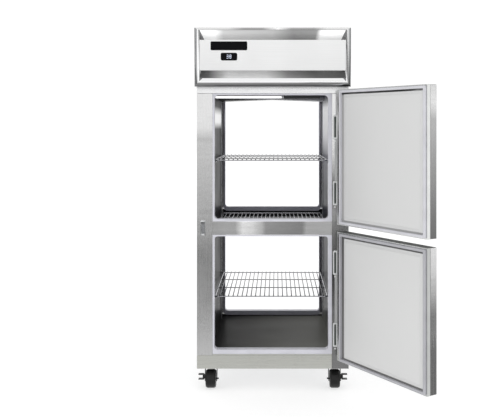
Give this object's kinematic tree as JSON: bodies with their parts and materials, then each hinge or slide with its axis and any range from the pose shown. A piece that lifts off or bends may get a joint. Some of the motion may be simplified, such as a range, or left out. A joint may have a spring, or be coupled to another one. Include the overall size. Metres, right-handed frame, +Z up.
{
  "type": "reach-in refrigerator",
  "caption": "Upright pass-through steel refrigerator on casters, with hinged half doors, wire shelves and a cooling unit between hoods.",
  "frame": {"origin": "on the floor under the middle of the whole, with its doors standing open as at rest", "axes": "+X to the right seen from the front, +Y from the front face to the back, +Z up"},
  "size_m": [1.2908, 2.3874, 2.136],
  "materials": {
    "body_steel": "brushed, upright grain",
    "hood_steel": "brushed, satin",
    "door_steel": "brushed, upright grain",
    "door_lining": "satin sheet",
    "gasket": "soft grey",
    "handle_steel": "brushed",
    "lock_chrome": "polished",
    "hinge_chrome": "satin chrome",
    "display_black": "gloss",
    "shelf_wire": "plated wire",
    "pilaster_steel": "satin",
    "lamp_white": "white diffuser, lit",
    "lining": "satin sheet",
    "foam": "rigid foam",
    "caster_tread": "gloss black rubber",
    "caster_black": "gloss black",
    "fan_black": "moulded",
    "compressor_black": "gloss black enamel",
    "coil_aluminium": "finned",
    "keeper_chrome": "satin chrome",
    "base_steel": "galvanised sheet"
  },
  "bodies": {
    "cabinet": {"outer_shell": "body_steel", "base_pan": "base_steel", "insulation": "foam", "liner": "lining", "front_face_frame": "body_steel", "rear_face_frame": "body_steel", "lock_keeper": "keeper_chrome", "front_upper_hinge_strip": "hinge_chrome", "front_lower_hinge_strip": "hinge_chrome", "rear_upper_hinge_strip": "hinge_chrome", "rear_lower_hinge_strip": "hinge_chrome", "front_hood": "hood_steel", "rear_hood": "hood_steel", "pilaster_front_left": "pilaster_steel", "pilaster_rear_left": "pilaster_steel", "pilaster_front_right": "pilaster_steel", "pilaster_rear_right": "pilaster_steel", "lamp": "lamp_white", "air_duct": "lining", "unit_tray": "base_steel", "compressor": "compressor_black", "condenser_coil": "coil_aluminium", "evaporator_coil": "coil_aluminium"},
    "front_upper_door": {"front_upper_door_skin": "door_steel", "front_upper_door_liner": "door_lining", "front_upper_door_gasket": "gasket", "front_upper_door_handle": "handle_steel"},
    "front_upper_lock": {"front_upper_door_lock": "lock_chrome"},
    "front_lower_door": {"front_lower_door_skin": "door_steel", "front_lower_door_liner": "door_lining", "front_lower_door_gasket": "gasket", "front_lower_door_handle": "handle_steel"},
    "front_lower_lock": {"front_lower_door_lock": "lock_chrome"},
    "rear_upper_door": {"rear_upper_door_skin": "door_steel", "rear_upper_door_liner": "door_lining", "rear_upper_door_gasket": "gasket", "rear_upper_door_handle": "handle_steel"},
    "rear_upper_lock": {"rear_upper_door_lock": "lock_chrome"},
    "rear_lower_door": {"rear_lower_door_skin": "door_steel", "rear_lower_door_liner": "door_lining", "rear_lower_door_gasket": "gasket", "rear_lower_door_handle": "handle_steel"},
    "rear_lower_lock": {"rear_lower_door_lock": "lock_chrome"},
    "upper_shelf": {"upper_shelf": "shelf_wire"},
    "middle_shelf": {"middle_shelf": "shelf_wire"},
    "lower_shelf": {"lower_shelf": "shelf_wire"},
    "hood_panel": {"front_hood_panel": "hood_steel", "display_unit": "display_black"},
    "condenser_fan": {"condenser_fan": "fan_black"},
    "evaporator_fan": {"evaporator_fan": "fan_black"},
    "front_left_caster": {"front_left_caster_fork": "caster_black"},
    "front_left_wheel": {"front_left_caster_wheel": "caster_tread"},
    "front_left_brake": {"front_left_brake_lever": "caster_black"},
    "front_right_caster": {"front_right_caster_fork": "caster_black"},
    "front_right_wheel": {"front_right_caster_wheel": "caster_tread"},
    "front_right_brake": {"front_right_brake_lever": "caster_black"},
    "rear_left_caster": {"rear_left_caster_fork": "caster_black"},
    "rear_left_wheel": {"rear_left_caster_wheel": "caster_tread"},
    "rear_right_caster": {"rear_right_caster_fork": "caster_black"},
    "rear_right_wheel": {"rear_right_caster_wheel": "caster_tread"}
  },
  "joints": [
    {"name": "front_upper_door_hinge", "type": "hinge", "parent": "cabinet", "child": "front_upper_door", "pos_m": [0.19705, -0.54577, 1.3855], "axis": [0, 0, 1], "range_deg": [-123, 0]},
    {"name": "front_upper_lock_turn", "type": "hinge", "parent": "front_upper_door", "child": "front_upper_lock", "pos_m": [0.60417, -1.12677, 1.068], "axis": [0.8387, 0.5446, 0], "range_deg": [0, 90]},
    {"name": "front_lower_door_hinge", "type": "hinge", "parent": "cabinet", "child": "front_lower_door", "pos_m": [0.19705, -0.54577, 0.574], "axis": [0, 0, 1], "range_deg": [-123, 0]},
    {"name": "front_lower_lock_turn", "type": "hinge", "parent": "front_lower_door", "child": "front_lower_lock", "pos_m": [0.60417, -1.12677, 0.873], "axis": [0.8387, 0.5446, 0], "range_deg": [0, 90]},
    {"name": "rear_upper_door_hinge", "type": "hinge", "parent": "cabinet", "child": "rear_upper_door", "pos_m": [0.19705, 0.44423, 1.377], "axis": [0, 0, -1], "range_deg": [-98, 25]},
    {"name": "rear_upper_lock_turn", "type": "hinge", "parent": "rear_upper_door", "child": "rear_upper_lock", "pos_m": [0.32048, 1.14285, 1.051], "axis": [0.9903, -0.1392, 0], "range_deg": [0, 90]},
    {"name": "rear_lower_door_hinge", "type": "hinge", "parent": "cabinet", "child": "rear_lower_door", "pos_m": [0.19705, 0.44423, 0.578], "axis": [0, 0, -1], "range_deg": [-98, 25]},
    {"name": "rear_lower_lock_turn", "type": "hinge", "parent": "rear_lower_door", "child": "rear_lower_lock", "pos_m": [0.32048, 1.14285, 0.856], "axis": [0.9903, -0.1392, 0], "range_deg": [0, 90]},
    {"name": "upper_shelf_lift", "type": "slide", "parent": "cabinet", "child": "upper_shelf", "axis": [0, 0, 1], "range_m": [0, 0.03]},
    {"name": "middle_shelf_lift", "type": "slide", "parent": "cabinet", "child": "middle_shelf", "axis": [0, 0, 1], "range_m": [0, 0.03]},
    {"name": "lower_shelf_lift", "type": "slide", "parent": "cabinet", "child": "lower_shelf", "axis": [0, 0, 1], "range_m": [0, 0.03]},
    {"name": "hood_panel_swing", "type": "hinge", "parent": "cabinet", "child": "hood_panel", "pos_m": [-0.19195, -0.60777, 2.064], "axis": [-1, 0, 0], "range_deg": [0, 85]},
    {"name": "condenser_fan_spin", "type": "hinge", "parent": "cabinet", "child": "condenser_fan", "pos_m": [-0.05195, -0.28077, 1.982], "axis": [0, 1, 0], "continuous": true},
    {"name": "evaporator_fan_spin", "type": "hinge", "parent": "cabinet", "child": "evaporator_fan", "pos_m": [-0.40695, 0.06923, 1.8773], "axis": [0, 0, 1], "continuous": true},
    {"name": "front_left_caster_swivel", "type": "hinge", "parent": "cabinet", "child": "front_left_caster", "pos_m": [-0.56195, -0.40577, 0.124], "axis": [0, 0, 1], "continuous": true},
    {"name": "front_left_wheel_roll", "type": "hinge", "parent": "front_left_caster", "child": "front_left_wheel", "pos_m": [-0.56195, -0.43577, 0.054], "axis": [1, 0, 0], "continuous": true},
    {"name": "front_left_brake_tilt", "type": "hinge", "parent": "front_left_caster", "child": "front_left_brake", "pos_m": [-0.60695, -0.43577, 0.066], "axis": [0, -1, 0], "range_deg": [0, 8]},
    {"name": "front_right_caster_swivel", "type": "hinge", "parent": "cabinet", "child": "front_right_caster", "pos_m": [0.17805, -0.40577, 0.124], "axis": [0, 0, 1], "continuous": true},
    {"name": "front_right_wheel_roll", "type": "hinge", "parent": "front_right_caster", "child": "front_right_wheel", "pos_m": [0.17805, -0.43577, 0.054], "axis": [1, 0, 0], "continuous": true},
    {"name": "front_right_brake_tilt", "type": "hinge", "parent": "front_right_caster", "child": "front_right_brake", "pos_m": [0.22305, -0.43577, 0.066], "axis": [0, 1, 0], "range_deg": [0, 8]},
    {"name": "rear_left_caster_swivel", "type": "hinge", "parent": "cabinet", "child": "rear_left_caster", "pos_m": [-0.56195, 0.33423, 0.124], "axis": [0, 0, 1], "continuous": true},
    {"name": "rear_left_wheel_roll", "type": "hinge", "parent": "rear_left_caster", "child": "rear_left_wheel", "pos_m": [-0.56195, 0.30423, 0.054], "axis": [1, 0, 0], "continuous": true},
    {"name": "rear_right_caster_swivel", "type": "hinge", "parent": "cabinet", "child": "rear_right_caster", "pos_m": [0.17805, 0.33423, 0.124], "axis": [0, 0, 1], "continuous": true},
    {"name": "rear_right_wheel_roll", "type": "hinge", "parent": "rear_right_caster", "child": "rear_right_wheel", "pos_m": [0.17805, 0.30423, 0.054], "axis": [1, 0, 0], "continuous": true}
  ]
}
